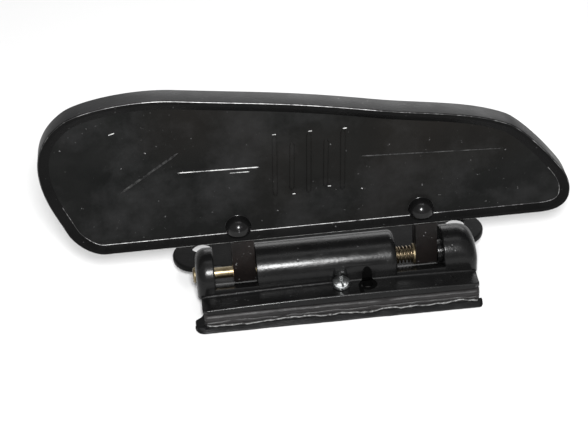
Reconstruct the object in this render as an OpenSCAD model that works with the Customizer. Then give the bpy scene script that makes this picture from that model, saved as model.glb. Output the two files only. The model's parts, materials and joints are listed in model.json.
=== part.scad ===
// Folding side footboard: a cast board on two arms that turn on a shaft in a two-slot bracket.
// X runs along the shaft, +Y to the rear, +Z up. Z = 0 is the resting face of the rubber packing.

/* [Board] */
// length of the board along the shaft
board_len = 269.8; // [180:0.1:340]
// height of the board, from its lower edge to the top
board_h = 88.7; // [60:0.1:120]
// lower edge of the board over the shaft's axis
board_low = 22.2; // [20:0.1:35]
// front plane of the rim, from the shaft's axis
front_y = -5; // [-7:0.25:-4]
// rear plane of the board
back_y = 6.5; // [5:0.25:7]
// width of the flat lip round the front face
lip_w = 2; // [1:0.1:4]
// width of the bevel inside the lip
bevel_w = 3.8; // [1:0.1:5]
// depth of the front face under the rim
face_depth = 1.75; // [0.5:0.05:2.5]
// radius of the two domed bosses
dome_r = 6.6; // [6.2:0.1:8]
// depth of the mat's recess in the rear face
mat_t = 3; // [2:0.1:4]
// height of the mat's ribs
mat_rib_h = 1; // [0.5:0.1:1.5]
// pitch of the mat's ribs
mat_pitch = 8; // [6:0.5:14]

/* [Hinge] */
// height of the shaft's axis over the resting face
axis_z = 17; // [15:0.5:24]
// shaft diameter
shaft_d = 6; // [5:0.5:7]
// running clearance in radius on the shaft
run_fit = 0.05; // [0.02:0.01:0.1]
// left side of the left arm
left_arm_x = -55.7; // [-60:0.1:-50]
// width of the left arm
left_arm_w = 11.9; // [9:0.1:14]
// left side of the right arm
right_arm_x = 40.8; // [40:0.1:43]
// width of the right arm
right_arm_w = 11.3; // [9:0.1:12]
// radius of the arms' rounded lower ends
arm_r = 5.9; // [5.2:0.1:6.2]
// radius of the bushes pressed into the arms
bush_r = 4; // [3.6:0.1:4.4]
// outer diameter of the spring
spring_od = 9.3; // [8:0.1:10.5]
// diameter of the spring's wire
wire_d = 1; // [0.8:0.05:1.2]
// turns in the spring
spring_turns = 5; // [4:0.5:6]

/* [Bracket] */
// length of the barrel
barrel_len = 148.1; // [120:0.1:180]
// radius of the barrel's top
barrel_r = 14; // [12:0.5:18]
// radius of the trough that the arms turn in
trough_r = 6.9; // [6.5:0.1:8]
// radius of the barrel's right shoulder
shoulder_r = 10; // [4:0.5:12]
// top of the front flange over the resting face
flange_top = 13.2; // [11:0.1:13.5]
// thickness of the flange and the rear plate
plate_t = 3.9; // [3:0.1:4.5]
// front edge of the flange, from the shaft's axis
flange_y = -25.6; // [-32:0.1:-22]
// spacing of the two mounting holes in the ears
ear_pitch = 139.5; // [110:1:160]
// diameter of the mounting holes
ear_hole_d = 11.2; // [8:0.1:13]
// radius of the ears
ear_r = 13.4; // [11:0.1:16]
// diameter of the flange's screw holes
screw_hole_d = 5.5; // [5:0.1:6.5]

/* [Packing] */
// length of the packing's flared lower lip
lip_len = 150.5; // [120:0.5:180]
// height of the flared lower lip
lip_h = 2.4; // [1:0.1:4]
// diameter of the screw's pan head
head_d = 9.4; // [8:0.1:10.5]
// thickness of the spring washer under the screw's head
screw_washer_t = 1.3; // [1:0.1:1.6]
// height of the screw's pan head
head_h = 2.8; // [2:0.1:4]

/* [Hidden] */
$fn = 64;

shaft_r = shaft_d / 2;
bore_r = shaft_r + run_fit;
barrel_x0 = -75.3;
barrel_x1 = barrel_x0 + barrel_len;
pin_head_r = 4.7;
pin_head_t = 1.6;
left_round = 4;
plate_low = flange_top - plate_t;
keel_low = plate_low - 2.2;
pad_top = plate_low - 0.1;
face_y = front_y + face_depth;
mat_y = back_y - mat_t;
slot_left = [-65.5, -43.4];
slot_right = [30, 54.7];
collar_x = 52.5;
lip_z = -0.5;
ramp_low_z = -3.4;
dome_left = [-51.1, 31.2];
dome_right = [43.8, 31.3];
fix_left = [-50.2, 34];
fix_right = [46, 34];
screw_tip_y = -7.4;
arm_top = board_low - 0.05;
screw_at = [-0.5, -17.3];
spare_at = [13.6, -16.8];
head_z = flange_top + screw_washer_t;
ear_top = flange_top - 0.6;
ear_hole_y = 31.4;
ear_hole_x = -1.25;
left_ear = [-73.6, 25.9];
right_ear = [69.3, 25.9];
rivet_xz = [[-121, 38], [-34, 36], [24, 36], [106, 36], [-131, 84], [-70, 98], [0, 88], [72, 73]];

paint = [0.09, 0.09, 0.10];
zinc = [0.74, 0.74, 0.72];
gold = [0.78, 0.66, 0.36];
rubber = [0.06, 0.06, 0.06];
bronze = [0.62, 0.45, 0.26];

// The board's outline, counter-clockwise from the lower right corner. Each knot is its x, its height
// over the lower edge, the outline's heading there, the curve's reach before and after it, and the steps
// to the next knot.
sx = board_len / 269.8;
sz = board_h / 88.7;
knots = [
  [106, 0, 0, 0, 9, 8],
  [121.8, 13, 92, 10, 8, 8],
  [112, 33, 127, 7.5, 8.5, 8],
  [88.5, 56.5, 154, 7.5, 21.5, 8],
  [21, 72, 168, 26, 43.5, 8],
  [-77, 87.7, 172, 45.5, 22, 8],
  [-132.5, 81, 214, 9.5, 13, 8],
  [-142, 25.5, 292, 35.5, 0, 1],
  [-137.5, 14, 293, 0, 5, 8],
  [-120, 0, 0, 8, 0, 1]
];
function handle(k, reach) = [k[0] + reach * cos(k[2]), k[1] + reach * sin(k[2])];
function bez(p, a, b, q, t) =
  pow(1 - t, 3) * p + 3 * t * pow(1 - t, 2) * a + 3 * t * t * (1 - t) * b + pow(t, 3) * q;
function between(k, m, t) = bez(handle(k, 0), handle(k, k[4]), handle(m, -m[3]), handle(m, 0), t);
function fit_size(p) = [p[0] * sx, board_low + p[1] * sz];
rim = [for (i = [0 : len(knots) - 1])
  let (k = knots[i], m = knots[(i + 1) % len(knots)])
  for (j = [0 : k[5] - 1]) fit_size(between(k, m, j / k[5]))];
function inward(a, b) = [a[1] - b[1], b[0] - a[0]] / norm(b - a);
function mitre(p, u, v, d) = p + d * (u + v) / (1 + u * v);
function inset(pts, d) = [for (i = [0 : len(pts) - 1])
  let (a = pts[(i + len(pts) - 1) % len(pts)], b = pts[i], c = pts[(i + 1) % len(pts)])
  mitre(b, inward(a, b), inward(b, c), d)];

// the spring's wire: rings of points along a helix
ring_n = 8;
step_n = 20;
coil_r = (spring_od - wire_d) / 2;
spring_x0 = 30.85 + wire_d / 2;
spring_x1 = 39.9 - wire_d / 2;
rings = spring_turns * step_n;
spring_rise = (spring_x1 - spring_x0) / rings;
function coil_at(k) =
  let (a = 360 * k / step_n)
  [spring_x0 + spring_rise * k, coil_r * cos(a), axis_z + coil_r * sin(a)];
function wire_pt(k, j) =
  let (a = 360 * k / step_n, b = 360 * j / ring_n, out = wire_d / 2 * cos(b))
  coil_at(k) + [wire_d / 2 * sin(b), out * cos(a), out * sin(a)];
wire_points = [for (k = [0 : rings]) for (j = [0 : ring_n - 1]) wire_pt(k, j)];
function at(k, j) = k * ring_n + j % ring_n;
wire_faces = concat(
  [for (k = [0 : rings - 1]) for (j = [0 : ring_n - 1])
    [at(k, j), at(k + 1, j), at(k + 1, j + 1), at(k, j + 1)]],
  [[for (j = [0 : ring_n - 1]) j]],
  [[for (j = [ring_n - 1 : -1 : 0]) at(rings, j)]]
);

// a flat shape in X and Z (Z from the axis), from y0 to y1
module slab(pts, y0, y1) {
  translate([0, y1, axis_z]) rotate([90, 0, 0]) linear_extrude(height = y1 - y0) polygon(pts);
}

// a block given by its corners
module block(a, b) {
  translate(a) cube(b - a);
}

// a round bar along X on the shaft's axis
module bar(x0, x1, r) {
  translate([x0, 0, axis_z]) rotate([0, 90, 0]) cylinder(r = r, h = x1 - x0);
}

// a ring along X on the shaft's axis
module ring(x0, x1, r_in, r_out) {
  difference() {
    bar(x0, x1, r_out);
    bar(x0 - 1, x1 + 1, r_in);
  }
}

// a round pin along Y at a point of the board
module pin_y(p, y0, y1, r) {
  translate([p[0], y0, axis_z + p[1]]) rotate([-90, 0, 0]) cylinder(r = r, h = y1 - y0);
}

// a cone along Y, for countersunk heads
module cone_y(p, y0, y1, r0, r1) {
  translate([p[0], y0, axis_z + p[1]]) rotate([-90, 0, 0]) cylinder(r1 = r0, r2 = r1, h = y1 - y0);
}

// a raised line on the front face from a to b
module raised_line(a, b, w) {
  n = inward(a, b) * w / 2;
  slab([a - n, b - n, b + n, a + n], face_y - 0.4, face_y + 0.5);
}

module dome(p) {
  intersection() {
    union() {
      translate([p[0], front_y, axis_z + p[1]]) sphere(r = dome_r);
      pin_y(p, front_y, face_y + 1.5, dome_r);
    }
    block(
      [p[0] - 20, front_y - 20, axis_z + p[1] - 1.4],
      [p[0] + 20, face_y + 1.4, axis_z + p[1] + 20]
    );
  }
}

module tongue_pocket(x, w) {
  block([x - 0.1, -0.6, axis_z + board_low - 1], [x + w + 0.1, mat_y + 0.1, axis_z + 42.2]);
}

module board_casting() {
  color(paint) difference() {
    union() {
      difference() {
        slab(rim, front_y, back_y);
        hull() {
          slab(inset(rim, lip_w - 0.1), front_y - 0.16, front_y - 0.06);
          slab(inset(rim, lip_w + bevel_w), face_y - 0.05, face_y);
        }
      }
      dome(dome_left);
      dome(dome_right);
      raised_line([-109, 58], [-77.8, 79], 1);
      raised_line([-77.8, 79], [-64, 58], 0.8);
      raised_line([-79.4, 67.2], [-38.2, 66.1], 0.9);
      raised_line([13.5, 66.8], [86.7, 63.4], 0.9);
      for (i = [0 : 2]) {
        raised_line([-28 + 11 * i, 50], [-17 + 11 * i, 80], 3.2);
      }
    }
    slab(inset(rim, 4.7), mat_y, back_y + 1);
    tongue_pocket(left_arm_x, left_arm_w);
    tongue_pocket(right_arm_x, right_arm_w);
    pin_y(fix_left, screw_tip_y - 0.3, 0, 2.5);
    pin_y(fix_right, screw_tip_y - 0.3, 0, 2.5);
    for (p = rivet_xz) {
      pin_y(p, -0.1, mat_y + 1, 1.65);
    }
  }
}

module hinge_arm(x, w, fix) {
  color(paint) difference() {
    union() {
      intersection() {
        bar(x, x + w, arm_r);
        block([x - 1, front_y, 0], [x + w + 1, 20, axis_z + 20]);
      }
      translate([x, 0, axis_z]) rotate([90, 0, 90]) linear_extrude(height = w)
        polygon([[front_y, 0], [arm_r, 0], [back_y, 6], [back_y, arm_top], [front_y, arm_top]]);
      block([x, -0.5, axis_z + board_low - 2], [x + w, mat_y, axis_z + 42]);
    }
    bar(x - 1, x + w + 1, bush_r + 0.02);
    pin_y(fix, -2, 8, 2.5);
    cone_y(fix, mat_y - 2.6, mat_y + 0.05, 2.5, 5.05);
  }
}

module left_hinge_arm() {
  hinge_arm(left_arm_x, left_arm_w, fix_left);
}

module right_hinge_arm() {
  hinge_arm(right_arm_x, right_arm_w, fix_right);
}

module fixing_screw(p) {
  difference() {
    union() {
      pin_y(p, screw_tip_y, mat_y - 0.1, 2.45);
      cone_y(p, mat_y - 2.6, mat_y - 0.1, 2.45, 4.9);
    }
    translate([p[0], mat_y - 1.6, axis_z + p[1]]) rotate([-90, 0, 0]) cylinder(r = 1.7, h = 3, $fn = 6);
  }
}

module arm_fixing_screws() {
  color(zinc) {
    fixing_screw(fix_left);
    fixing_screw(fix_right);
  }
}

module tread_mat() {
  color(rubber) difference() {
    union() {
      slab(inset(rim, 5), mat_y, back_y);
      intersection() {
        slab(inset(rim, 5.2), mat_y + 1, back_y + 2);
        union() {
          for (x = [-15 * mat_pitch - 14 : mat_pitch : 112]) {
            block([x - 1.5, mat_y + 1, axis_z + 20], [x + 1.5, back_y + mat_rib_h, axis_z + 120]);
          }
        }
      }
    }
    for (p = rivet_xz) {
      pin_y(p, mat_y - 1, back_y + 2, 1.65);
      pin_y(p, back_y, back_y + 3, 4.2);
    }
  }
}

module mat_rivets() {
  color(zinc) {
    for (p = rivet_xz) {
      pin_y(p, 0, back_y + 0.1, 1.6);
      cone_y(p, back_y, back_y + 1, 3.5, 2.4);
    }
  }
}

module left_arm_bush() {
  color(bronze) ring(left_arm_x, left_arm_x + left_arm_w, bore_r, bush_r);
}

module right_arm_bush() {
  color(bronze) ring(right_arm_x, right_arm_x + right_arm_w, bore_r, bush_r);
}

// the barrel seen from the front: a small round at the left end, the shoulder at the right
module barrel_side() {
  top = axis_z + barrel_r;
  translate([0, 30, 0]) rotate([90, 0, 0]) linear_extrude(height = 60) union() {
    translate([barrel_x0, keel_low]) square([barrel_len - shoulder_r, top - left_round - keel_low]);
    translate([barrel_x0 + left_round, keel_low])
      square([barrel_len - shoulder_r - left_round, top - keel_low]);
    translate([barrel_x0, keel_low]) square([barrel_len, top - shoulder_r - keel_low]);
    translate([barrel_x1 - shoulder_r, top - shoulder_r]) circle(r = shoulder_r);
    translate([barrel_x0 + left_round, top - left_round]) circle(r = left_round);
  }
}

// a slot for an arm: the folded arm's front lands on the ramp between the lip and the trough
module slot_cut(s) {
  bar(s[0], s[1], trough_r);
  translate([s[0], 0, axis_z]) rotate([90, 0, 90]) linear_extrude(height = s[1] - s[0])
    polygon([
      [0, -trough_r], [barrel_r + 0.5, -4.6], [barrel_r + 0.5, 30], [-30, 30],
      [-30, lip_z], [-barrel_r - 0.1, lip_z], [-6.1, ramp_low_z], [0, ramp_low_z]
    ]);
}

module spotface(p, r) {
  translate([p[0], p[1], flange_top]) cylinder(r = r, h = 12);
}

module hinge_bracket() {
  color(paint) difference() {
    union() {
      intersection() {
        union() {
          bar(barrel_x0, barrel_x1, barrel_r);
          block([barrel_x0, -barrel_r, plate_low], [barrel_x1, barrel_r, axis_z]);
        }
        barrel_side();
        block([barrel_x0, -20, plate_low], [barrel_x1, 20, 60]);
      }
      block([-62, -10, keel_low], [62, 10, plate_low + 1]);
      block([-73.4, flange_y, plate_low], [71.3, -barrel_r + 2, flange_top]);
      block([left_ear[0], 10, plate_low], [right_ear[0], left_ear[1] + ear_r, ear_top]);
      translate([left_ear[0], left_ear[1], plate_low]) cylinder(r = ear_r, h = ear_top - plate_low);
      translate([right_ear[0], right_ear[1], plate_low]) cylinder(r = ear_r, h = ear_top - plate_low);
    }
    slot_cut(slot_left);
    difference() {
      slot_cut(slot_right);
      bar(collar_x, slot_right[1] + 0.1, 6.2);
    }
    bar(barrel_x0 - 1, barrel_x1 + 1, bore_r);
    bar(barrel_x1 - 4, barrel_x1 + 1, 6.2);
    spotface([screw_at[0], screw_at[1] - 0.6], 5.6);
    spotface([spare_at[0], spare_at[1] - 1.2], 4.8);
    for (p = [screw_at, spare_at]) {
      translate([p[0], p[1], keel_low - 1]) cylinder(d = screw_hole_d, h = 20);
    }
    for (s = [-1, 1]) {
      translate([ear_hole_x + s * ear_pitch / 2, ear_hole_y, 0]) cylinder(d = ear_hole_d, h = 30);
    }
  }
}

module hinge_shaft() {
  color(gold) difference() {
    union() {
      bar(barrel_x0, barrel_x1 - 1, shaft_r);
      bar(barrel_x0 - pin_head_t, barrel_x0, pin_head_r);
    }
    ring(barrel_x1 - 3, barrel_x1 - 2.1, shaft_r - 0.5, shaft_r + 2);
  }
}

module shaft_end_washer() {
  color(gold) ring(barrel_x1 - 4, barrel_x1 - 3.1, shaft_r + 0.1, 5.6);
}

module shaft_circlip() {
  color(zinc) difference() {
    ring(barrel_x1 - 2.95, barrel_x1 - 2.15, shaft_r - 0.48, 4.6);
    block([barrel_x1 - 4, -1.6, axis_z], [barrel_x1, 1.6, axis_z + 8]);
  }
}

module compression_spring() {
  color(gold) polyhedron(points = wire_points, faces = wire_faces);
}

module spring_seat_washer() {
  color(gold) ring(slot_right[0] + 0.05, slot_right[0] + 0.8, shaft_r + 0.1, 5.6);
}

module thrust_washer() {
  color(gold) ring(right_arm_x - 0.85, right_arm_x - 0.05, shaft_r + 0.1, 5.6);
}

module packing_screw() {
  color(zinc) difference() {
    union() {
      translate([screw_at[0], screw_at[1], 0.4]) cylinder(r = 2.45, h = head_z);
      translate([screw_at[0], screw_at[1], head_z]) cylinder(d = head_d, h = head_h - 1);
      translate([screw_at[0], screw_at[1], head_z + head_h - 1])
        cylinder(d1 = head_d, d2 = head_d - 2.6, h = 1);
    }
    translate([screw_at[0] - 0.6, screw_at[1] - 6, head_z + head_h - 1.3]) cube([1.2, 12, 2]);
  }
}

module packing_nut() {
  color(zinc) translate([screw_at[0], screw_at[1], 0.5]) difference() {
    cylinder(r = 4.6, h = 2.7, $fn = 6);
    translate([0, 0, -1]) cylinder(r = 2.5, h = 5);
  }
}

module split_washer(z, r, h) {
  translate([screw_at[0], screw_at[1], z]) difference() {
    cylinder(r = r, h = h);
    translate([0, 0, -1]) cylinder(r = 2.6, h = h + 2);
    translate([0, -0.4, -1]) cube([r + 1, 0.8, h + 2]);
  }
}

module screw_spring_washer() {
  color(zinc) split_washer(flange_top, 4.4, screw_washer_t);
}

module nut_spring_washer() {
  color(zinc) split_washer(3.25, 4.2, 1.1);
}

module clamp_strip() {
  color(zinc) difference() {
    block([-12, -21, 4.4], [26, -13, 5.6]);
    translate([screw_at[0], screw_at[1], 0]) cylinder(r = 2.7, h = 10);
    translate([spare_at[0], spare_at[1], 0]) cylinder(r = 2.9, h = 10);
  }
}

module rubber_packing() {
  color(rubber) difference() {
    union() {
      block([-73, flange_y - 0.9, 0], [71, 20, pad_top]);
      block([-50, 15, 0], [50, 36, pad_top]);
      block([72.5 - lip_len, -30, 0], [72.5, flange_y, lip_h]);
      block([72.5 - lip_len, -30, 0], [-70, -15, lip_h]);
    }
    block([-62.3, -10.3, keel_low - 0.1], [62.3, 10.3, pad_top + 1]);
    block([-12.3, -22, -1], [26.3, -12.4, 5.6]);
    for (p = [screw_at, spare_at]) {
      translate([p[0], p[1], -1]) cylinder(r = 3, h = 20);
    }
  }
}

board_casting();
left_hinge_arm();
right_hinge_arm();
arm_fixing_screws();
tread_mat();
mat_rivets();
left_arm_bush();
right_arm_bush();
hinge_bracket();
hinge_shaft();
shaft_end_washer();
shaft_circlip();
compression_spring();
spring_seat_washer();
thrust_washer();
packing_screw();
screw_spring_washer();
packing_nut();
nut_spring_washer();
clamp_strip();
rubber_packing();
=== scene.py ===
import bpy, bmesh, json, math
from mathutils import Vector, Matrix, noise


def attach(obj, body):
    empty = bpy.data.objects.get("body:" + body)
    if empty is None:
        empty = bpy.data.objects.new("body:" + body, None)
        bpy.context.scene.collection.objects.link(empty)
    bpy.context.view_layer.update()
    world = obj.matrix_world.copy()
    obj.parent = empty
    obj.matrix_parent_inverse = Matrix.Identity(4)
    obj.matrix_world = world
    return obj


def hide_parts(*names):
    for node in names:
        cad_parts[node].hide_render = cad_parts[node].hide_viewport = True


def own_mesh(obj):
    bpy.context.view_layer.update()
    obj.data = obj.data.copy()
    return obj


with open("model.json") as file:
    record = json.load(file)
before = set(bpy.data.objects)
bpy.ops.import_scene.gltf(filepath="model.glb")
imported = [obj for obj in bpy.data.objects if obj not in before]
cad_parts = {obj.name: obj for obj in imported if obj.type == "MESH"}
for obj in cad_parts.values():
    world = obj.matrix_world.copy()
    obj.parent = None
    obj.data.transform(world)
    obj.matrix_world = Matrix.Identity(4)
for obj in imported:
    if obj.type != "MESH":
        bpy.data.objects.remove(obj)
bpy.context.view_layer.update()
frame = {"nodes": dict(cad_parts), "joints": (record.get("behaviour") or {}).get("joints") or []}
MM = 0.001
sin, cos, pi = math.sin, math.cos, math.pi
ALONG, REARWARD, UP = (1, 0, 0), (0, 1, 0), (0, 0, 1)

# the shaft's axis over the floor, in mm
fold = next(j for j in frame["joints"] if j["name"] == "board_fold")
AX = fold["pos_m"][2] / MM

# Places and sizes that several pieces share, in mm:
# x along the shaft, y to the rear, z from the shaft's axis.
RIM_Y, FACE_Y, BACK_Y = -5.0, -3.25, 6.5   # the rim's front plane, the face inside it, and the board's back
LOW = 22.2                                 # lower edge of the board
BARREL_R = 14
PACK_TOP, FLOOR_Z = -7.95, -17             # the packing's top and resting face
SCREW_X, SCREW_Y = -0.5, -17.3
SPARE_X, SPARE_Y = 13.6, -18.0             # the spotface of the empty hole


def P(x, y, z):
    """A point in millimetres, with z counted from the shaft's axis, as metres in the part's frame."""
    return Vector((x, y, z + AX)) * MM


# ---------------------------------------------------------------- materials

def new_mat(name, color, metallic=0.0, rough=0.4, spec=0.5):
    """A plain material, with its node tree and its shader node."""
    m = bpy.data.materials.new(name)
    m.use_nodes = True
    nt = m.node_tree
    b = nt.nodes["Principled BSDF"]
    b.inputs["Base Color"].default_value = (*color, 1)
    b.inputs["Metallic"].default_value = metallic
    b.inputs["Roughness"].default_value = rough
    b.inputs["Specular IOR Level"].default_value = spec
    return m, nt, b


def tex(nt, scale, detail, rough, stretch=(1, 1, 1)):
    """A noise texture in the object's own coordinates."""
    co = nt.nodes.new("ShaderNodeTexCoord")
    mp = nt.nodes.new("ShaderNodeMapping")
    mp.inputs["Scale"].default_value = stretch
    nz = nt.nodes.new("ShaderNodeTexNoise")
    nz.inputs["Scale"].default_value = scale
    nz.inputs["Detail"].default_value = detail
    nz.inputs["Roughness"].default_value = rough
    nt.links.new(co.outputs["Object"], mp.inputs["Vector"])
    nt.links.new(mp.outputs["Vector"], nz.inputs["Vector"])
    return nz


def ramp(nt, src, stops):
    """A colour ramp on src. Each stop is its position and a colour, or one number for a grey."""
    r = nt.nodes.new("ShaderNodeValToRGB")
    el = r.color_ramp.elements
    while len(el) < len(stops):
        el.new(0.5)
    for e, (p, c) in zip(el, stops):
        e.position = p
        e.color = (*c, 1) if isinstance(c, tuple) else (c, c, c, 1)
    nt.links.new(src, r.inputs["Fac"])
    return r


def mix_rgb(nt, fac, a, b):
    """The colour between a and b at fac. Each is a colour or another node's output."""
    m = nt.nodes.new("ShaderNodeMix")
    m.data_type = "RGBA"
    nt.links.new(fac, m.inputs["Factor"])
    for sock, v in ((m.inputs[6], a), (m.inputs[7], b)):
        if isinstance(v, tuple):
            sock.default_value = (*v, 1)
        else:
            nt.links.new(v, sock)
    return m.outputs[2]


def bump(nt, bsdf, height, strength, dist):
    bp = nt.nodes.new("ShaderNodeBump")
    bp.inputs["Strength"].default_value = strength
    bp.inputs["Distance"].default_value = dist
    nt.links.new(height, bp.inputs["Height"])
    nt.links.new(bp.outputs["Normal"], bsdf.inputs["Normal"])


def paint(name, dark, light, r_lo, r_hi, spec, grain, strength, pits=False, dust=0.0, smear=0.0,
          bare=0.70):
    """Black paint on a casting: clouded colour, uneven gloss, a fine skin, and a few bare specks."""
    m, nt, b = new_mat(name, dark, rough=r_lo, spec=spec)
    cloud = tex(nt, 38, 5, 0.6)
    col = ramp(nt, cloud.outputs["Fac"], [(0.32, dark), (0.72, light)]).outputs["Color"]
    if smear:
        wide = tex(nt, 17, 8, 0.68)
        wf = ramp(nt, wide.outputs["Fac"], [(0.47, 0.0), (0.66, 1.0)]).outputs["Color"]
        col = mix_rgb(nt, wf, col, (smear, smear * 1.01, smear * 1.02))
        warm = tex(nt, 6, 3, 0.5)
        wf = ramp(nt, warm.outputs["Fac"], [(0.45, 0.0), (0.7, 1.0)]).outputs["Color"]
        col = mix_rgb(nt, wf, col, (0.0075, 0.0062, 0.0052))
    speck = tex(nt, 420, 3, 0.7)
    fac = ramp(nt, speck.outputs["Fac"], [(bare, 0.0), (bare + 0.06, 1.0)]).outputs["Color"]
    col = mix_rgb(nt, fac, col, (0.10 + dust, 0.10 + dust, 0.10 + dust))
    skin = tex(nt, grain, 4, 0.6)
    height = skin.outputs["Fac"]
    if pits:
        co = nt.nodes.new("ShaderNodeTexCoord")
        vo = nt.nodes.new("ShaderNodeTexVoronoi")
        vo.inputs["Scale"].default_value = 250
        nt.links.new(co.outputs["Object"], vo.inputs["Vector"])
        hole = ramp(nt, vo.outputs["Distance"], [(0.13, 1.0), (0.19, 0.0)])
        some = ramp(nt, vo.outputs["Color"], [(0.50, 0.0), (0.52, 1.0)])
        mul = nt.nodes.new("ShaderNodeMath")
        mul.operation = "MULTIPLY"
        nt.links.new(hole.outputs["Color"], mul.inputs[0])
        nt.links.new(some.outputs["Color"], mul.inputs[1])
        # the pits are also darkened in colour: painted shade in the pits
        col = mix_rgb(nt, mul.outputs[0], col, (0.002, 0.002, 0.002))
        sub = nt.nodes.new("ShaderNodeMath")
        sub.operation = "SUBTRACT"
        nt.links.new(skin.outputs["Fac"], sub.inputs[0])
        nt.links.new(mul.outputs[0], sub.inputs[1])
        height = sub.outputs[0]
    nt.links.new(col, b.inputs["Base Color"])
    gloss = tex(nt, 70, 4, 0.65)
    rr = ramp(nt, gloss.outputs["Fac"], [(0.3, r_lo), (0.75, r_hi)])
    nt.links.new(rr.outputs["Color"], b.inputs["Roughness"])
    bump(nt, b, height, strength, 0.0004)
    return m


def plating(name, a, c, rough, dark=0.25):
    """Metal plating between two tones, with darker stains, brushed along the shaft."""
    m, nt, b = new_mat(name, a, metallic=1.0, rough=rough)
    n1 = tex(nt, 130, 5, 0.65)
    col = ramp(nt, n1.outputs["Fac"], [(0.3, a), (0.62, c), (0.8, tuple(v * dark for v in a))])
    nt.links.new(col.outputs["Color"], b.inputs["Base Color"])
    n2 = tex(nt, 600, 4, 0.6, (0.15, 1, 1))
    rr = ramp(nt, n2.outputs["Fac"], [(0.3, rough * 0.7), (0.75, min(1.0, rough * 1.5))])
    nt.links.new(rr.outputs["Color"], b.inputs["Roughness"])
    bump(nt, b, n2.outputs["Fac"], 0.18, 0.0002)
    return m


def rubber(name, a, c, rough, grain=900, strength=0.35, stretch=(1, 1, 1), spec=0.35):
    """Dull rubber, clouded between two tones, with a rough skin."""
    m, nt, b = new_mat(name, a, rough=rough, spec=spec)
    n1 = tex(nt, 60, 5, 0.65, stretch)
    col = ramp(nt, n1.outputs["Fac"], [(0.3, a), (0.75, c)])
    nt.links.new(col.outputs["Color"], b.inputs["Base Color"])
    n2 = tex(nt, grain, 5, 0.7, stretch)
    rr = ramp(nt, n2.outputs["Fac"], [(0.3, rough - 0.1), (0.75, min(1, rough + 0.15))])
    nt.links.new(rr.outputs["Color"], b.inputs["Roughness"])
    bump(nt, b, n2.outputs["Fac"], strength, 0.0005)
    return m


M_face = paint("board_face_paint", (0.0022, 0.0024, 0.0023), (0.0052, 0.0054, 0.0052), 0.36, 0.55, 0.05,
               1500, 0.16, smear=0.012)
# the rim's bevel: a darker copy of the board's paint, painted shade on the recess wall
M_bevel_shade = paint("rim_painted_shade", (0.0016, 0.0016, 0.0016), (0.003, 0.003, 0.003), 0.22, 0.36, 0.05, 1200, 0.12)
# the board's sides: a lighter copy of the board's paint, painted light where the top side catches it; its
# specks are dust
M_side_lit = paint("board_side_painted_light", (0.0042, 0.0042, 0.0044), (0.0098, 0.0098, 0.0102), 0.34, 0.5, 0.22,
               900, 0.2, dust=0.1)
M_cast = paint("casting_paint", (0.0022, 0.0022, 0.0023), (0.005, 0.005, 0.005), 0.17, 0.34, 0.16,
               700, 0.16, pits=True)
# the rear plate and its ears: a darker, less glossy copy of the casting paint, painted shade under the board
M_plate_shade = paint("rear_plate_painted_shade", (0.0018, 0.0018, 0.0019), (0.004, 0.004, 0.004), 0.3, 0.5, 0.04,
                700, 0.2)
# near-black paint for the empty hole's spotface: painted shade in the recess
M_recess_shade = paint("recess_painted_shade", (0.0008, 0.0008, 0.0008), (0.0016, 0.0016, 0.0016), 0.5, 0.7, 0.02,
                 700, 0.2)
M_arm = paint("arm_paint", (0.0032, 0.0029, 0.0028), (0.0095, 0.0074, 0.0068), 0.28, 0.46, 0.13,
              900, 0.45, dust=0.12, bare=0.665)
M_dome = paint("dome_paint", (0.002, 0.002, 0.002), (0.004, 0.004, 0.004), 0.17, 0.25, 0.2, 900, 0.05)
M_zinc = plating("bright_zinc_plating", (0.62, 0.64, 0.64), (0.80, 0.82, 0.82), 0.24, dark=0.55)
M_gold = plating("yellow_zinc_plating", (0.092, 0.072, 0.042), (0.20, 0.166, 0.105), 0.42, dark=0.35)
M_spring = plating("spring_plating", (0.06, 0.044, 0.028), (0.17, 0.135, 0.09), 0.34, dark=0.3)
M_bronze = plating("bush_metal", (0.20, 0.13, 0.07), (0.28, 0.19, 0.10), 0.45)
M_mat = rubber("mat_ribbed_rubber", (0.010, 0.010, 0.010), (0.022, 0.022, 0.021), 0.62)
M_pack = rubber("packing_rubber", (0.005, 0.0047, 0.0047), (0.017, 0.016, 0.016), 0.46, 500, 0.5,
                (0.35, 1, 1.4), 0.22)
M_lip = rubber("packing_lip_rubber", (0.002, 0.002, 0.0021), (0.006, 0.006, 0.0062), 0.4, 400, 0.5,
               (0.5, 1, 1.2), 0.07)


def highlight_patches(name, lo, hi, bright, spec=0.5):
    """Painted highlight: bright patches over dark paint, where an edge or ridge catches the light."""
    m, nt, b = new_mat(name, (0.3, 0.3, 0.3), rough=0.35, spec=spec)
    n = tex(nt, 170, 5, 0.75)
    f = ramp(nt, n.outputs["Fac"], [(lo, 0.0), (hi, 1.0)]).outputs["Color"]
    col = mix_rgb(nt, f, (0.004, 0.004, 0.004), (bright, bright, bright * 0.985))
    nt.links.new(col, b.inputs["Base Color"])
    r = ramp(nt, n.outputs["Fac"], [(0.3, 0.3), (0.7, 0.5)])
    nt.links.new(r.outputs["Color"], b.inputs["Roughness"])
    bump(nt, b, n.outputs["Fac"], 0.3, 0.0002)
    return m


# painted highlights: bright patches where edges, raised lines and the packing's seam catch the light
M_edge_highlight = highlight_patches("edge_painted_highlight", 0.34, 0.62, 0.42)
M_faint_highlight = highlight_patches("faint_edge_painted_highlight", 0.5, 0.72, 0.22)
M_line_highlight = highlight_patches("raised_line_painted_highlight", 0.44, 0.8, 0.06, 0.15)
M_bead_highlight = highlight_patches("packing_bead_painted_highlight", 0.34, 0.68, 0.17)


# ---------------------------------------------------------------- mesh helpers

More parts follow.
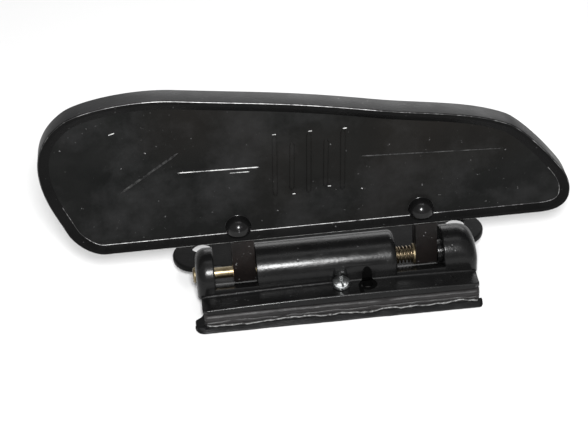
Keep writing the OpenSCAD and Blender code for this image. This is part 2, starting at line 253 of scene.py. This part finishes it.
def make(name, bm, mats, body, replaces, angle):
    """Turns bm into the piece: materials, smooth faces up to an angle, its body, and the CAD nodes that it
    replaces hidden.
    """
    bmesh.ops.remove_doubles(bm, verts=bm.verts, dist=2e-7)
    bmesh.ops.recalc_face_normals(bm, faces=bm.faces)
    me = bpy.data.meshes.new(name)
    bm.to_mesh(me)
    bm.free()
    for m in (mats if isinstance(mats, list) else [mats]):
        me.materials.append(m)
    me.shade_smooth()
    me.set_sharp_from_angle(angle=math.radians(angle))
    ob = bpy.data.objects.new(name, me)
    bpy.context.scene.collection.objects.link(ob)
    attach(ob, body)
    if replaces:
        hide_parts(*replaces)
    return ob


def loft(bm, rings, mat=None):
    """Quads between closed rings of points of equal count, with both ends filled."""
    rows = [[bm.verts.new(p) for p in r] for r in rings]
    n = len(rows[0])
    for k in range(len(rows) - 1):
        for i in range(n):
            j = (i + 1) % n
            f = bm.faces.new((rows[k][i], rows[k][j], rows[k + 1][j], rows[k + 1][i]))
            if mat:
                f.material_index = mat(k, i)
    bm.faces.new(rows[0])
    bm.faces.new(rows[-1])


def lathe(bm, profile, origin, axis, n=48):
    """profile: (distance along the axis, radius) in mm; radius 0 closes the end."""
    a = Vector(axis).normalized()
    u = a.orthogonal().normalized()
    v = a.cross(u)
    o = Vector(origin)
    rings = []
    for d, r in profile:
        rr = max(r, 0.0001)
        turn = [2 * pi * i / n for i in range(n)]
        rings.append([o + (a * d + (u * cos(t) + v * sin(t)) * rr) * MM for t in turn])
    loft(bm, rings)


# The board's outline, counter-clockwise from the lower right corner. Each knot is its x, its height over
# the lower edge, the outline's heading there in degrees, and the curve's reach before and after it.
knots = [
    (106, 0, 0, 0, 9),
    (121.8, 13, 92, 10, 8),
    (112, 33, 127, 7.5, 8.5),
    (88.5, 56.5, 154, 7.5, 21.5),
    (21, 72, 168, 26, 43.5),
    (-77, 87.7, 172, 45.5, 22),
    (-132.5, 81, 214, 9.5, 13),
    (-142, 25.5, 292, 35.5, 0),
    (-137.5, 14, 293, 0, 5),
    (-120, 0, 0, 8, 0),
]


def handle(k, reach):
    """The point at reach from knot k along its heading; a negative reach lies before the knot."""
    a = math.radians(k[2])
    return Vector((k[0] + reach * cos(a), LOW + k[1] + reach * sin(a)))


def curve_at(k, m, t):
    """The curve from knot k to knot m at t."""
    u = 1 - t
    near = u ** 3 * handle(k, 0) + 3 * t * u * u * handle(k, k[4])
    return near + 3 * t * t * u * handle(m, -m[3]) + t ** 3 * handle(m, 0)


def even_outline(count):
    """The outline as points at an even step, so its corners stay smooth."""
    per_curve = 40
    pairs = zip(knots, knots[1:] + knots[:1])
    raw = [curve_at(k, m, i / per_curve) for k, m in pairs for i in range(per_curve)]
    raw.append(raw[0])
    lens = [0.0]
    for a, b in zip(raw, raw[1:]):
        lens.append(lens[-1] + (b - a).length)
    out = []
    k = 0
    for i in range(count):
        s = lens[-1] * i / count
        while lens[k + 1] < s:
            k += 1
        t = (s - lens[k]) / max(1e-9, lens[k + 1] - lens[k])
        out.append(raw[k].lerp(raw[k + 1], t))
    return out


outline = even_outline(440)


def inset(d):
    """The outline moved inwards by d."""
    out = []
    n = len(outline)
    for i in range(n):
        t = (outline[(i + 1) % n] - outline[i - 1]).normalized()
        out.append(outline[i] + Vector((-t.y, t.x)) * d)
    return out


def ring_xz(d, y):
    """The outline, moved inwards by d, as a ring in the upright plane at y."""
    return [P(p.x, y, p.y) for p in inset(d)]


# ---------------------------------------------------------------- board

# the board's section as (inset, y): face, bevel, flat lip, side, back and the mat's recess
board_section = [
    (5.8, FACE_Y), (5.62, -3.28), (5.45, -3.36), (5.2, -3.5), (2.35, -4.86), (2.05, -4.97), (1.8, RIM_Y),
    (0.75, RIM_Y), (0.5, -4.94), (0.25, -4.8), (0.07, -4.5), (0.0, -4.2),
    (0.0, 5.7), (0.06, 6.05), (0.25, 6.3), (0.6, 6.45), (1.0, BACK_Y),
    (4.3, BACK_Y), (4.5, 6.4), (4.6, 6.2), (4.7, 3.5),
]


def rim_mat(k, i):
    """The material of the quad after ring k at point i of the outline.

    0 face, 1 side in a lighter copy of the paint (painted light), 2 painted highlight on the edge, 3 fainter
    painted highlight on the edge, 4 the bevel in a darker copy of the paint (painted shade).
    """
    q = outline[i]
    low, high = q.y < LOW + 3, q.y > LOW + 52
    # where the edge strips catch the light, at the bottom and along the top, they get the painted highlight
    if k in (1, 2):
        bright = low and k == 2 and q.x < 52
        return 2 if bright else (3 if k == 2 and q.y < LOW + 30 else 4)
    if k in (7, 8, 9):
        bright = k == 8 and (low and q.x < 60 or high and -92 < q.x < 22)
        return 2 if bright else (3 if k == 8 else 4)
    return 0 if k < 1 else (4 if k < 7 else 1)


bm = bmesh.new()
loft(bm, [ring_xz(d, y) for d, y in board_section], mat=rim_mat)
board_mats = [M_face, M_side_lit, M_edge_highlight, M_faint_highlight, M_bevel_shade]
board = make("board_shell", bm, board_mats, "board", ("board_casting",), 40)
# the foot of the bevel stays sharp against the flat face
foot_y = FACE_Y * MM
for e in board.data.edges:
    if all(abs(board.data.vertices[v].co.y - foot_y) < 1e-6 for v in e.vertices):
        e.use_edge_sharp = True


def ridge(bm, a, b, w, h, taper=1.0, n=14):
    """A raised stroke on the front face with a rounded back, from a to b (x, z), w wide and h high."""
    a, b = Vector(a), Vector(b)
    L = (b - a).length
    d = (b - a) / L
    q = Vector((-d.y, d.x))
    root = FACE_Y + 0.02
    rings = []
    m = 12
    for k in range(n + 1):
        e = k / n
        s = L * e
        end = min(s, L - s)
        # both ends are rounded over this length
        nose = w * 0.6
        f = math.sqrt(max(0.0, 1 - max(0.0, 1 - end / nose) ** 2)) if end < nose else 1.0
        f = max(f, 0.05)
        ww = w * f * (1 + (taper - 1) * e)
        c = a + d * s
        row = []
        for j in range(m):
            t = pi * j / (m - 1)
            p = c + q * ww / 2 * cos(t)
            row.append(P(p.x, root - h * f * max(0.0, sin(t)), p.y))
        rings.append(row)
    loft(bm, rings)


# small strokes painted bright as glints, painted highlights: x, z, and how far each runs along x and z; the
# bars' ends catch them too
painted_glints = [
    (-111, 93, 3.2, 0.9), (-94.8, 81.1, 1.1, -0.7),
    (-30.6, 84.3, 2.0, 0.1), (-12.6, 84.4, 2.0, 0.1), (4.8, 84.2, 2.0, 0.1),
    (-22.2, 47.8, 1.6, 0.1), (-4.0, 50.6, 1.8, -0.1), (13.0, 47.4, 1.0, -0.5),
]
# the two raised lines carry faint light patches: painted highlight
bm = bmesh.new()
ridge(bm, (-109, 58), (-77.8, 79), 1.3, 0.4)
ridge(bm, (13.5, 66.8), (86.7, 63.4), 0.8, 0.3, 0.5, 24)
make("board_raised_lines", bm, M_line_highlight, "board", (), 50)
# five plain upright bars, every second one a little shorter
bm = bmesh.new()
for i in range(5):
    x = -31 + 8.6 * i
    ridge(bm, (x, 47 + (i % 2) * 3), (x + 1.5, 84 - (i % 2) * 5), 2.6, 0.8, 1.0, 20)
make("board_raised_bars", bm, M_face, "board", (), 50)
# the raised line, the short stroke under it and the glints are painted bright: painted highlights
bm = bmesh.new()
ridge(bm, (-38.2, 66.1), (-79.4, 67.2), 0.68, 0.35, 0.6, 24)
ridge(bm, (-43, 63.9), (-53.3, 64.1), 0.5, 0.2, 0.7)
for x, z, run, rise in painted_glints:
    ridge(bm, (x, z), (x + run, z + rise), 0.55, 0.2)
make("board_bright_line", bm, M_edge_highlight, "board", (), 50)


def boss_dome(name, cx, cz):
    """Half a ball on the face, flattened underneath, with a fillet where it meets the face."""
    R, low, n = 6.5, -1.3, 56
    shape = [(R * sin(pi / 2 * k / 16), R * cos(pi / 2 * k / 16)) for k in range(16, -1, -1)]
    shape += [(-1.2, R), (-1.5, R + 0.06), (-1.7, R + 0.2), (-1.8, R + 0.4), (-2.5, R + 0.4)]
    rings = []
    for out, radius in shape:
        row = []
        for i in range(n):
            a = 2 * pi * i / n
            x, z = radius * cos(a), radius * sin(a)
            if z < low:
                z = low - 0.25 * (1 - math.exp((z - low) * 0.8))
            row.append(P(cx + x, RIM_Y - out, cz + z))
        rings.append(row)
    bm = bmesh.new()
    loft(bm, rings)
    make(name, bm, M_dome, "board", (), 50)


boss_dome("boss_dome_left", -51.1, 31.2)
boss_dome("boss_dome_right", 43.8, 31.3)


# ---------------------------------------------------------------- arms

def arm(name, x0, x1, cad):
    """Flat-fronted arm, a little wider behind, its lower end rounded about the shaft."""
    top = LOW - 0.05
    sec = [(RIM_Y, -2.9), (RIM_Y, top), (6.45, top), (BACK_Y, 6.0)]
    r = 5.85
    for k in range(17):
        t = math.radians(8 - k * 153 / 16)
        sec.append((r * cos(t), r * sin(t)))
    bm = bmesh.new()
    mid = (x0 + x1) / 2
    w = (x1 - x0) / 2
    # each ring of the rounded edges: how far the section shrinks, and how far it lies in from the arm's side
    edge = [(0.32, 0.0), (0.09, 0.09), (0.0, 0.32)]
    rings = []
    for s, dy, e in [(-1, *ring) for ring in edge] + [(1, *ring) for ring in reversed(edge)]:
        row = []
        for y, z in sec:
            back = (y - RIM_Y) / (BACK_Y - RIM_Y)
            half = w - e - 0.15 * (1 - back)
            yy = y - math.copysign(min(dy, abs(y)), y - 0.2)
            zz = z if z > 20 else z + dy * (0.8 if z < -2 else 0.0)
            row.append(P(mid + s * half, yy, zz))
        rings.append(row)

    def lit_edges(k, i):
        """The front face's two upright edges and its lower edge get a faint painted highlight."""
        return 1 if k in (0, 4) and i == 0 or k == 2 and i == len(sec) - 1 else 0

    loft(bm, rings, mat=lit_edges)
    make(name, bm, [M_arm, M_faint_highlight], "board", (cad,), 38)


arm("arm_left", -55.7, -43.55, "left_hinge_arm")
arm("arm_right", 40.8, 52.35, "right_hinge_arm")


# ---------------------------------------------------------------- bracket

def loaf(x, dy, dz):
    """The barrel's section at x: half round above the axis, straight walls below it."""
    w, h, zb, n = BARREL_R - dy, BARREL_R - dz, -7.0, 48
    pts = [(-w, zb), (-w, -2.5)]
    pts += [(-w * cos(pi * i / n), h * sin(pi * i / n)) for i in range(n + 1)]
    pts += [(w, -2.5), (w, zb)]
    return [P(x, y, z) for y, z in pts]


def fillet(e, r):
    """How far a fillet of radius r draws the surface in at the distance e from its end."""
    return r - math.sqrt(max(0.0, r * r - (r - min(e, r)) ** 2))


def barrel(x0, x1, rl, rr):
    """rl and rr are (side radius, top radius) of the two ends' fillets."""
    bm = bmesh.new()
    xs = [x0 + max(rl) * (1 - cos(pi / 2 * k / 12)) for k in range(13)]
    xs += [x1 - max(rr) * (1 - cos(pi / 2 * k / 12)) for k in range(12, -1, -1)]
    rings = []
    for x in xs:
        dy = fillet(x - x0, rl[0]) + fillet(x1 - x, rr[0])
        dz = fillet(x - x0, rl[1]) + fillet(x1 - x, rr[1])
        rings.append(loaf(x, dy, dz))
    loft(bm, rings)
    return bm


def temp_object(bm, name):
    """Turns bm into an object for cut() to work on."""
    bmesh.ops.recalc_face_normals(bm, faces=bm.faces)
    me = bpy.data.meshes.new(name)
    bm.to_mesh(me)
    bm.free()
    ob = bpy.data.objects.new(name, me)
    bpy.context.scene.collection.objects.link(ob)
    return ob


def cut(bm, tools):
    """Cuts the tool meshes out of bm and gives the result as a new bmesh."""
    ob = temp_object(bm, "tmp")
    made = [ob]
    for t in tools:
        c = temp_object(t, "tool")
        made.append(c)
        md = ob.modifiers.new("b", "BOOLEAN")
        md.operation = "DIFFERENCE"
        md.solver = "EXACT"
        md.object = c
    dg = bpy.context.evaluated_depsgraph_get()
    dg.update()
    me = bpy.data.meshes.new_from_object(ob.evaluated_get(dg))
    out = bmesh.new()
    out.from_mesh(me)
    for o in made:
        d = o.data
        bpy.data.objects.remove(o)
        bpy.data.meshes.remove(d)
    bpy.data.meshes.remove(me)
    return out


def cylinder(x, y, z, axis, r, h):
    """A cylinder of radius r that runs h along the axis from x, y, z."""
    bm = bmesh.new()
    lathe(bm, [(0, r), (h, r)], P(x, y, z), axis, 56)
    return bm


def bow(x):
    """How far the flange's top rises at x over its ends."""
    return 1.5 * (1 - (x / 73) ** 2)


def flange():
    """The front flange: slightly bowed, rounded front edge and corners."""
    bm = bmesh.new()
    x0, x1, reach, corner, b = -73.6, 71.3, 25.6, 2.2, -7.75
    n = 60
    rings = []
    for k in range(n + 1):
        x = x0 + (x1 - x0) * k / n
        e = min(x - x0, x1 - x)
        f = reach - fillet(e, corner) if e < corner else reach
        t = -4.9 + bow(x)
        dn = fillet(e, 0.7)
        sec = [(-11, b), (-f + 0.5, b), (-f + 0.12, b + 0.15), (-f, b + 0.5)]
        for q in range(7):
            a = pi / 2 * q / 6
            sec.append((-f + 0.9 - 0.9 * cos(a), t - dn - 0.9 + 0.9 * sin(a)))
        # the top runs into the barrel's wall in a small fillet
        for y, rise in ((-17, 0), (-14.9, 0.02), (-14.4, 0.2), (-14.05, 0.75), (-13.6, 0.9), (-11, 0.9)):
            sec.append((y, t - dn + rise))
        rings.append([P(x, y, z) for y, z in sec])
    loft(bm, rings)
    return bm


def trough(x0, x1):
    """The slot's floor, with the ramp that the folded arm lands on, and its rear lip."""
    sec = [(-14, -7.4), (-14, -1.1), (-13.85, -0.72), (-13.4, -0.8), (-6.5, -3.32), (-6.15, -3.5)]
    for k in range(12):
        a = math.radians(212 + k * 58 / 11)
        sec.append((6.9 * cos(a), 6.9 * sin(a)))
    sec += [(1.0, -6.85), (14, -4.75), (14.2, -7.4)]
    bm = bmesh.new()
    loft(bm, [[P(x, y, z) for y, z in sec] for x in (x0, x1)])
    return bm


def spot_faces():
    """The round recesses of the screw and of the empty hole."""
    return [cylinder(SCREW_X, -17.9, -3.5, UP, 5.6, 16), cylinder(SPARE_X, SPARE_Y, -4.2, UP, 4.8, 16)]


mid = cut(barrel(-43.4, 30.0, (0.3, 0.3), (1.6, 3.2)), spot_faces())
spare_hole = cylinder(SPARE_X, -16.8, -10, UP, 2.75, 16)
front_flange = cut(flange(), spot_faces() + [spare_hole])
shaft_recess = cylinder(68.8, 0, 0, ALONG, 6.2, 6)
shaft_bore = cylinder(50, 0, 0, ALONG, 3.05, 30)
right = cut(barrel(54.7, 72.8, (0.9, 0.9), (5, 10)), [shaft_recess, shaft_bore])
collar = bmesh.new()
lathe(collar, [(0, 3.1), (0, 5.8), (0.3, 6.15), (0.7, 6.2), (3.0, 6.2), (3.0, 3.1)], P(52.5, 0, 0), ALONG)
left = barrel(-75.3, -65.5, (5.5, 6), (0.9, 0.9))


def rear_plate():
    """The rear plate and its two ears, as one rounded outline with its holes."""
    pts = []
    r = 13.4
    cx0, cx1, cy = -73.6, 69.3, 25.9
    hole_x0, hole_x1, hole_y, hole_r = -71, 68.5, 31.4, 5.6
    for k in range(40):
        a = math.radians(90 + 180 * k / 39)
        pts.append((cx0 + r * cos(a), cy + r * sin(a)))
    pts += [(-62, 12.6), (-60, 11)]
    pts += [(56, 11), (58, 12.6)]
    for k in range(40):
        a = math.radians(-90 + 180 * k / 39)
        pts.append((cx1 + r * cos(a), cy + r * sin(a)))
    n = len(pts)

    def off(d):
        """The plate's outline moved inwards by d."""
        out = []
        for i in range(n):
            p, q, s = Vector(pts[i - 1]), Vector(pts[i]), Vector(pts[(i + 1) % n])
            t = (s - p).normalized()
            out.append(q + Vector((-t.y, t.x)) * d)
        return out

    edge = ((0.5, -7.8), (0.1, -7.65), (0.0, -7.2), (0.0, -5.4), (0.25, -4.85), (0.8, -4.55), (1.2, -4.5))
    bm = bmesh.new()
    loft(bm, [[P(p.x, p.y, z) for p in off(d)] for d, z in edge])
    return cut(bm, [cylinder(x, hole_y, -12, UP, hole_r, 16) for x in (hole_x0, hole_x1)])


whole = bmesh.new()
rear = rear_plate()
for part in (left, mid, right, collar, front_flange, trough(-66, -43), trough(29.5, 55.2), rear):
    bmesh.ops.recalc_face_normals(part, faces=part.faces)
    for face in part.faces:
        c = face.calc_center_median() / MM
        # faces in the empty hole's spotface get the painted shade
        in_recess = math.hypot(c.x - SPARE_X, c.y - SPARE_Y) < 4.85 and c.z < AX + 4
        face.material_index = 1 if part is rear else (2 if in_recess else 0)
    me = bpy.data.meshes.new("p")
    part.to_mesh(me)
    part.free()
    whole.from_mesh(me)
    bpy.data.meshes.remove(me)
make("bracket_casting", whole, [M_cast, M_plate_shade, M_recess_shade], "root", ("hinge_bracket",), 35)


# ---------------------------------------------------------------- shaft, spring, screw, rivets

bm = bmesh.new()
lathe(bm, [(0, 0), (0, 3.2), (0.2, 3.7), (0.5, 4.0), (0.9, 4.15), (1.5, 4.15), (1.6, 4.1), (1.6, 3.0),
           (2.2, 2.98), (147.6, 3.0), (148.3, 2.6), (148.7, 2.3), (148.7, 0)], P(-76.9, 0, 0), ALONG)
make("shaft_pin", bm, M_gold, "root", ("hinge_shaft",), 35)

# the spring: its wire, of radius wr, is wound at R between x0 and x1 and lies closer at both ends
bm = bmesh.new()
x0, x1, R, wr = 31.35, 39.4, 4.15, 0.5
turns, per_turn = 5, 40
wire = [2 * pi * j / 12 for j in range(12)]
rings = []
for k in range(turns * per_turn + 1):
    t = k / per_turn
    e = min(max((t - 0.7) / (turns - 1.4), 0), 1)
    x = x0 + min(t, 0.7) * 0.75 + e * (x1 - x0 - 1.05) + max(0, t - turns + 0.7) * 0.75
    a = 2 * pi * t
    c = Vector((x, R * cos(a), R * sin(a)))
    rad = Vector((0, cos(a), sin(a)))
    rings.append([P(*(c + (rad * cos(b) + Vector(ALONG) * sin(b)) * wr)) for b in wire])
loft(bm, rings)
spring = make("release_spring", bm, M_spring, "root", ("compression_spring",), 40)
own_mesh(spring)

# the screw: its shank under a pan head, and a slot that is turned a little
head = bmesh.new()
head_z = -1.75
pan_head = [(-12.0, 0), (-12.0, 2.2), (-11.6, 2.45), (-0.3, 2.45), (0, 2.5), (0.0, 4.5), (0.15, 4.67),
            (0.5, 4.7), (1.3, 4.62), (1.9, 4.3), (2.4, 3.4), (2.7, 2.1), (2.8, 0.9), (2.8, 0)]
lathe(head, pan_head, P(SCREW_X, SCREW_Y, head_z), UP, 64)
slot = bmesh.new()
slot_place = Matrix.Translation(P(SCREW_X, SCREW_Y, head_z + 2.6))
slot_turn = Matrix.Rotation(math.radians(6), 4, "Z")
slot_size = Matrix.Diagonal((1.45 * MM, 12 * MM, 3.0 * MM, 1))
bmesh.ops.create_cube(slot, size=1.0, matrix=slot_place @ slot_turn @ slot_size)
screw = cut(head, [slot])
make("flange_screw", screw, M_zinc, "root", ("packing_screw",), 30)

# the mat's rivets, each with a shank and a domed head
bm = bmesh.new()
rivet = [(-6.4, 0), (-6.4, 1.6), (0.0, 1.6), (0.0, 3.5), (0.25, 3.45),
         (0.6, 2.9), (0.85, 1.8), (0.95, 0.8), (0.95, 0)]
rivets = [(-121, 38), (-34, 36), (24, 36), (106, 36), (-131, 84), (-70, 98), (0, 88), (72, 73)]
for x, z in rivets:
    lathe(bm, rivet, P(x, BACK_Y, z), REARWARD, 32)
make("tread_rivets", bm, M_zinc, "board", ("mat_rivets",), 35)

# split spring washer under the screw's head, its ends a little apart in height
bm = bmesh.new()
washer = [(2.7, 0.05), (2.7, 1.05), (2.9, 1.2), (4.1, 1.2),
          (4.35, 1.0), (4.35, 0.15), (4.15, 0.0), (2.9, 0.0)]
rings = []
for k in range(57):
    a = math.radians(-84 + 348 * k / 56)
    z = -3.25 + 0.15 * k / 56
    rings.append([P(SCREW_X + r * cos(a), SCREW_Y + r * sin(a), z + dz) for r, dz in washer])
loft(bm, rings)
make("flange_screw_washer", bm, M_zinc, "root", ("screw_spring_washer",), 35)

# tread mat: a bevelled sheet with rounded upright ribs
bm = bmesh.new()
loft(bm, [ring_xz(d, y) for d, y in ((5.0, 3.5), (5.0, 6.1), (5.12, 6.35), (5.45, 6.48), (6.2, 6.5))])
ribbed_field = inset(7.0)


def span(x):
    """Lowest and highest z of the mat's ribbed field at x."""
    zs = []
    for a, b in zip(ribbed_field, ribbed_field[1:] + ribbed_field[:1]):
        if (a.x - x) * (b.x - x) <= 0 and abs(a.x - b.x) > 1e-9:
            zs.append(a.y + (b.y - a.y) * (x - a.x) / (b.x - a.x))
    return (min(zs), max(zs)) if len(zs) >= 2 else None


def rib(bm, x, low, high):
    """One rib at x, its section rounded and both ends sloping down."""
    half = [(1.6, -0.2), (1.5, 0.45), (1.25, 0.85), (0.8, 1.0)]
    section = [(-dx, dy) for dx, dy in half] + half[::-1]
    up = [(low, 0.15), (low + 0.5, 0.75), (low + 1.2, 1.0)]
    down = [(high - 1.2, 1.0), (high - 0.5, 0.75), (high, 0.15)]
    rings = []
    for z, f in up + down:
        rings.append([P(x + dx * (0.7 + 0.3 * f), 6.3 + (0.2 + dy) * f, z) for dx, dy in section])
    loft(bm, rings)


rib_pitch = 8
plain_r = 5.6   # there are no ribs within this radius of a rivet
for x in range(-134, 112, rib_pitch):
    field = span(x)
    if not field or field[1] - field[0] < rib_pitch:
        continue
    stops = list(field)
    for rx, rz in rivets:
        if abs(rx - x) < plain_r:
            h = math.sqrt(plain_r ** 2 - (rx - x) ** 2)
            stops += [rz - h, rz + h]
    stops.sort()
    for low, high in zip(stops[::2], stops[1::2]):
        if high - low > 4:
            rib(bm, x, low, high)
make("tread_rubber", bm, M_mat, "board", ("tread_mat",), 45)


# ---------------------------------------------------------------- rubber packing

def waver(x, s, a):
    """A gentle waver along x: the larger s is, the shorter it is, and a is how strong it is."""
    return a * noise.noise(Vector((x * s, 3.1 * s, 0.7)))


def seam(x):
    """How far the seam between the packing's two layers wavers at x."""
    return waver(x, 0.09, 1.7) + waver(x, 0.33, 0.5)


bm = bmesh.new()
STEPS = 150
PACK_X0, PACK_X1 = -73.0, 71.0
rings = []
for k in range(STEPS + 1):
    x = PACK_X0 + (PACK_X1 - PACK_X0) * k / STEPS
    e = min(x - PACK_X0, PACK_X1 - x)
    c = fillet(e, 1.6)
    y = -26.5 + c
    rise = waver(x, 0.06, 0.4) - 0.25 * max(0, x / 70)
    w = seam(x)
    v = waver(x + 40, 0.16, 0.7)
    g = waver(x - 90, 0.2, 0.4)
    sec = [
        (19.5, FLOOR_Z), (y + 1.2, FLOOR_Z), (y + 0.2, -16.6), (y + 0.1, -15.2),
        (y - 0.15, -14.3 + w), (y + 0.25, -13.4 + w),
        (y - 0.1, -13.0 + w * 0.8), (y - 0.45, -12.3 + w * 0.6),
        (y - 0.25, -11.6 + v), (y + 0.1, -11.35 + v), (y - 0.2, -11.1 + v),
        (y - 0.5, -10.4 + g), (y - 0.3, -9.6 + g), (y + 0.2, -9.35 + g), (y - 0.1, -9.1 + g),
        (y + 0.15, -8.5 + rise), (y + 0.9, PACK_TOP + rise), (19.5, PACK_TOP),
    ]
    rings.append([P(x, yy, zz) for yy, zz in sec])
loft(bm, rings)
# the block under the rear plate, with chamfered corners
heel = [(-49, 15), (49, 15), (50, 16), (50, 35), (49, 36), (-49, 36), (-50, 35), (-50, 16)]
loft(bm, [[P(x, y, z) for x, y in heel] for z in (FLOOR_Z, PACK_TOP)])
make("packing_block", bm, M_pack, "root", ("rubber_packing",), 45)

# the flared lower lip: thin at its edge, wavy, and turned round the left corner
bm = bmesh.new()
LIP_X0, LIP_X1 = -78.0, 72.5
LIP_LOW = FLOOR_Z + 0.01
rings = []
for k in range(STEPS + 1):
    x = LIP_X0 + (LIP_X1 - LIP_X0) * k / STEPS
    c = fillet(x - LIP_X0, 5.0) + fillet(LIP_X1 - x, 2.0)
    w = waver(x, 0.09, 0.9) + waver(x, 0.31, 0.35)
    y = -29.2 - 0.7 * (x - LIP_X0) / 150 + c + abs(waver(x, 0.07, 0.5))
    t = -14.75 + w * 0.55
    sec = [
        (-24.5, LIP_LOW), (y + 0.6, LIP_LOW), (y + 0.05, -16.75), (y, -16.3), (y + 0.35, -15.9),
        (-27.2 + c * 0.4, t - 0.25), (-26.9 + c * 0.4, t), (-26.5, t + 0.15), (-24.5, t + 0.15),
    ]
    rings.append([P(x, yy, zz) for yy, zz in sec])
loft(bm, rings)
rings = []
y0, y1 = -27.5, -15.0
for k in range(25):
    y = y0 + (y1 - y0) * k / 24
    e = min(1.0, (y - y0) / 2 + 0.3, (y1 - y) / 3 + 0.05)
    x = PACK_X0 - 4.8 * e
    sec = [
        (-71, LIP_LOW), (x + 0.4, LIP_LOW), (x, -16.5), (x + 0.3, -15.9),
        (-73.4, -14.9 + waver(y, 0.2, 0.5)), (-72.8, -14.6), (-71, -14.6),
    ]
    rings.append([P(xx, y, zz) for xx, zz in sec])
loft(bm, rings)
make("packing_lip", bm, M_lip, "root", (), 45)

# the bead where the packing's two layers meet, painted bright: a painted highlight along the seam
bm = bmesh.new()
bead_x0, bead_x1 = -72.2, 70.4
bead_turn = [2 * pi * j / 8 for j in range(8)]
rings = []
for k in range(STEPS * 2 + 1):
    x = bead_x0 + (bead_x1 - bead_x0) * k / (STEPS * 2)
    z = -13.9 + seam(x)
    r = max(0.16, 0.42 + 0.45 * noise.noise(Vector((x * 0.45, 5, 1))))
    y = -26.75 + fillet(min(x - bead_x0, bead_x1 - x), 1.6)
    rings.append([P(x, y + r * cos(b), z + r * sin(b)) for b in bead_turn])
loft(bm, rings)
make("packing_seam_highlight", bm, M_bead_highlight, "root", (), 60)


# ---------------------------------------------------------------- materials of the CAD nodes

cad_mats = {
    M_face: ("board_casting",),
    M_arm: ("left_hinge_arm", "right_hinge_arm"),
    M_cast: ("hinge_bracket",),
    M_mat: ("tread_mat",),
    M_pack: ("rubber_packing",),
    M_spring: ("compression_spring",),
    M_bronze: ("left_arm_bush", "right_arm_bush"),
    M_gold: ("hinge_shaft", "shaft_end_washer", "spring_seat_washer", "thrust_washer"),
    M_zinc: ("arm_fixing_screws", "shaft_circlip", "packing_screw", "screw_spring_washer", "packing_nut",
             "nut_spring_washer", "clamp_strip", "mat_rivets"),
}
for mat, names in cad_mats.items():
    for name in names:
        me = frame["nodes"][name].data
        me.materials.clear()
        me.materials.append(mat)


# ---------------------------------------------------------------- floor, light, camera

bm = bmesh.new()
bmesh.ops.create_grid(bm, x_segments=1, y_segments=1, size=6.0)
me = bpy.data.meshes.new("floor")
bm.to_mesh(me)
bm.free()
floor = bpy.data.objects.new("floor", me)
floor.location.z = -0.0002
bpy.context.scene.collection.objects.link(floor)
me.materials.append(new_mat("floor_pale", (0.58, 0.58, 0.58), rough=0.9, spec=0.1)[0])

world = bpy.data.worlds.new("studio")
bpy.context.scene.world = world
world.use_nodes = True
sky = world.node_tree.nodes["Background"]
sky.inputs["Color"].default_value = (1, 1, 1, 1)
sky.inputs["Strength"].default_value = 0.5


def area(name, loc, target, size, power, size_y=None):
    """An area light at loc that looks at target; metres and watts."""
    l = bpy.data.lights.new(name, "AREA")
    l.energy = power
    l.size = size
    if size_y:
        l.shape = "RECTANGLE"
        l.size_y = size_y
    o = bpy.data.objects.new(name, l)
    o.location = loc
    o.rotation_euler = (Vector(target) - Vector(loc)).to_track_quat("-Z", "Y").to_euler()
    bpy.context.scene.collection.objects.link(o)


area("overhead", (0.1, 0.35, 1.3), (0, 0, 0), 1.2, 11)
area("flash", (-0.05, -0.66, 0.6), (0, 0, 0.04), 0.12, 15)
area("back_panel", (0.35, 1.15, 0.52), (0, 0, 0.05), 1.1, 5, 0.5)

# the camera looks down at the point aim from the distance, with the picture turned by roll
yaw, tilt, roll = math.radians(3.92), math.radians(35), math.radians(3.337)
aim = P(-21.71, 0, 34.26)
distance = 825.7 * MM
ahead = Vector((sin(yaw) * cos(tilt), cos(yaw) * cos(tilt), -sin(tilt)))
level = Vector((cos(yaw), -sin(yaw), 0))
above = level.cross(ahead)
to_right = level * cos(roll) - above * sin(roll)
to_top = level * sin(roll) + above * cos(roll)
cam = bpy.data.cameras.new("camera")
cam.sensor_width = 36
cam.lens = 97.96
cam.clip_start = 0.01
place = Matrix.Identity(4)
for i in range(3):
    place[i][0], place[i][1], place[i][2] = to_right[i], to_top[i], -ahead[i]
    place[i][3] = (aim - ahead * distance)[i]
camera = bpy.data.objects.new("camera", cam)
camera.matrix_world = place
bpy.context.scene.collection.objects.link(camera)
bpy.context.scene.camera = camera
bpy.context.scene.view_settings.view_transform = "Standard"
